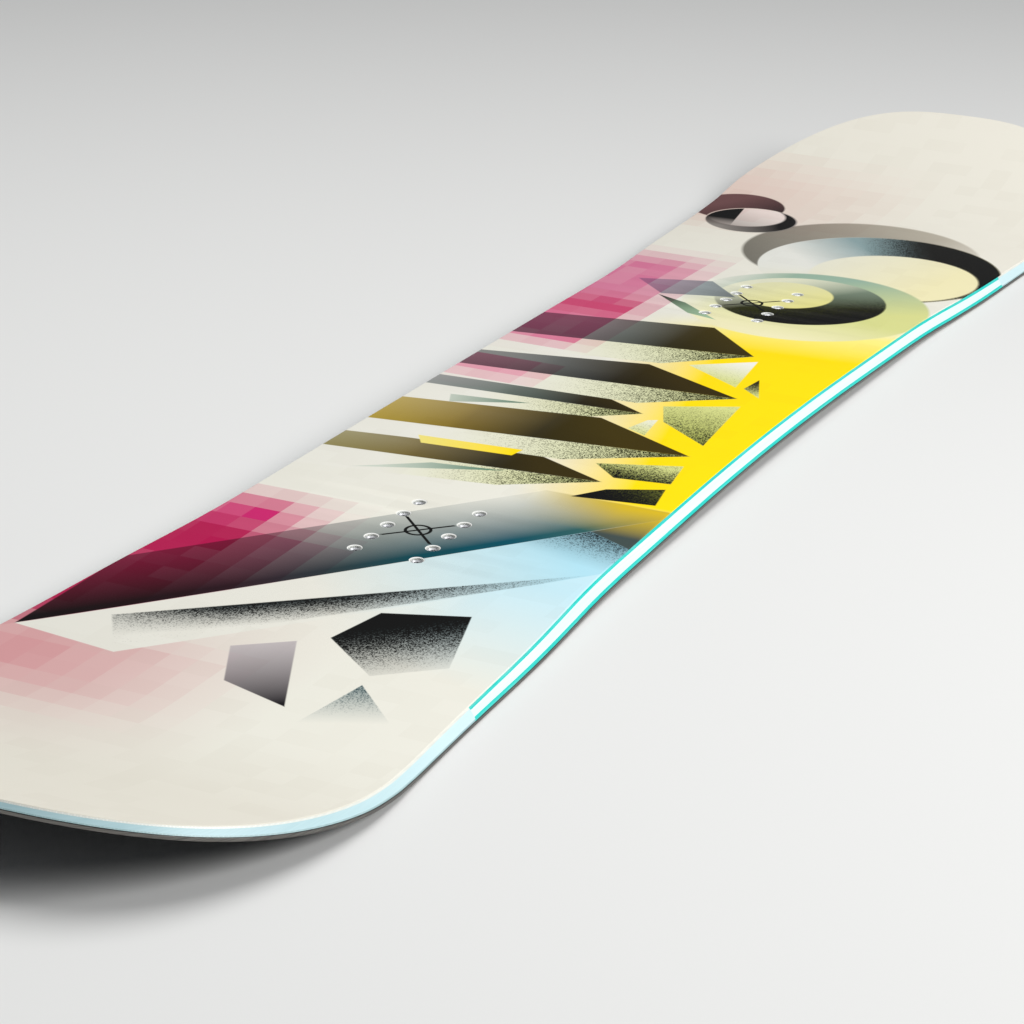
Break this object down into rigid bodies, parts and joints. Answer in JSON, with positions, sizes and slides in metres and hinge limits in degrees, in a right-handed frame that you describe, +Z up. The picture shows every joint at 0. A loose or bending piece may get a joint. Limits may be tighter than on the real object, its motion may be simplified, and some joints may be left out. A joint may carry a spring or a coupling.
{
  "type": "snowboard",
  "caption": "Bare camber snowboard, blunt upturned tips, steel edges, striped sidewalls, wood core, printed topsheet and threaded binding inserts.",
  "frame": {"origin": "middle of the board, on the ground that the base rests on", "axes": "+X from tail to nose, +Y to the left edge, +Z up out of the topsheet"},
  "size_m": [1.476, 0.2924, 0.0527],
  "materials": {
    "topsheet": "satin printed polyamide sheet",
    "laminate": "glass fibre in clear resin",
    "teal_sidewall": "satin ABS",
    "white_sidewall": "satin ABS",
    "tip_fill": "satin ABS",
    "poplar": "planed",
    "paulownia": "planed",
    "steel": "ground",
    "rubber": "matt",
    "base": "stone-ground polyethylene",
    "stainless": "turned"
  },
  "bodies": {
    "root": {"base_nose": "base", "base_middle": "base", "base_tail": "base", "steel_edge_left_nose": "steel", "steel_edge_left_middle": "steel", "steel_edge_left_tail": "steel", "steel_edge_right_nose": "steel", "steel_edge_right_middle": "steel", "steel_edge_right_tail": "steel", "damping_foil_left": "rubber", "damping_foil_right": "rubber", "lower_fibreglass": "laminate", "upper_fibreglass": "laminate", "topsheet": "topsheet", "nose_tip_fill": "tip_fill", "tail_tip_fill": "tip_fill", "sidewall_left_lower": "teal_sidewall", "sidewall_left_middle": "white_sidewall", "sidewall_left_upper": "teal_sidewall", "core_stringer_left_1": "poplar", "core_stringer_left_2": "paulownia", "core_stringer_left_3": "poplar", "core_stringer_left_4": "paulownia", "sidewall_right_lower": "teal_sidewall", "sidewall_right_middle": "white_sidewall", "sidewall_right_upper": "teal_sidewall", "core_stringer_right_1": "poplar", "core_stringer_right_2": "paulownia", "core_stringer_right_3": "poplar", "core_stringer_right_4": "paulownia", "insert_nose_left_1": "stainless", "insert_nose_left_2": "stainless", "insert_nose_left_3": "stainless", "insert_nose_left_4": "stainless", "insert_nose_left_5": "stainless", "insert_nose_right_1": "stainless", "insert_nose_right_2": "stainless", "insert_nose_right_3": "stainless", "insert_nose_right_4": "stainless", "insert_nose_right_5": "stainless", "insert_tail_left_1": "stainless", "insert_tail_left_2": "stainless", "insert_tail_left_3": "stainless", "insert_tail_left_4": "stainless", "insert_tail_left_5": "stainless", "insert_tail_right_1": "stainless", "insert_tail_right_2": "stainless", "insert_tail_right_3": "stainless", "insert_tail_right_4": "stainless", "insert_tail_right_5": "stainless"}
  },
  "joints": []
}
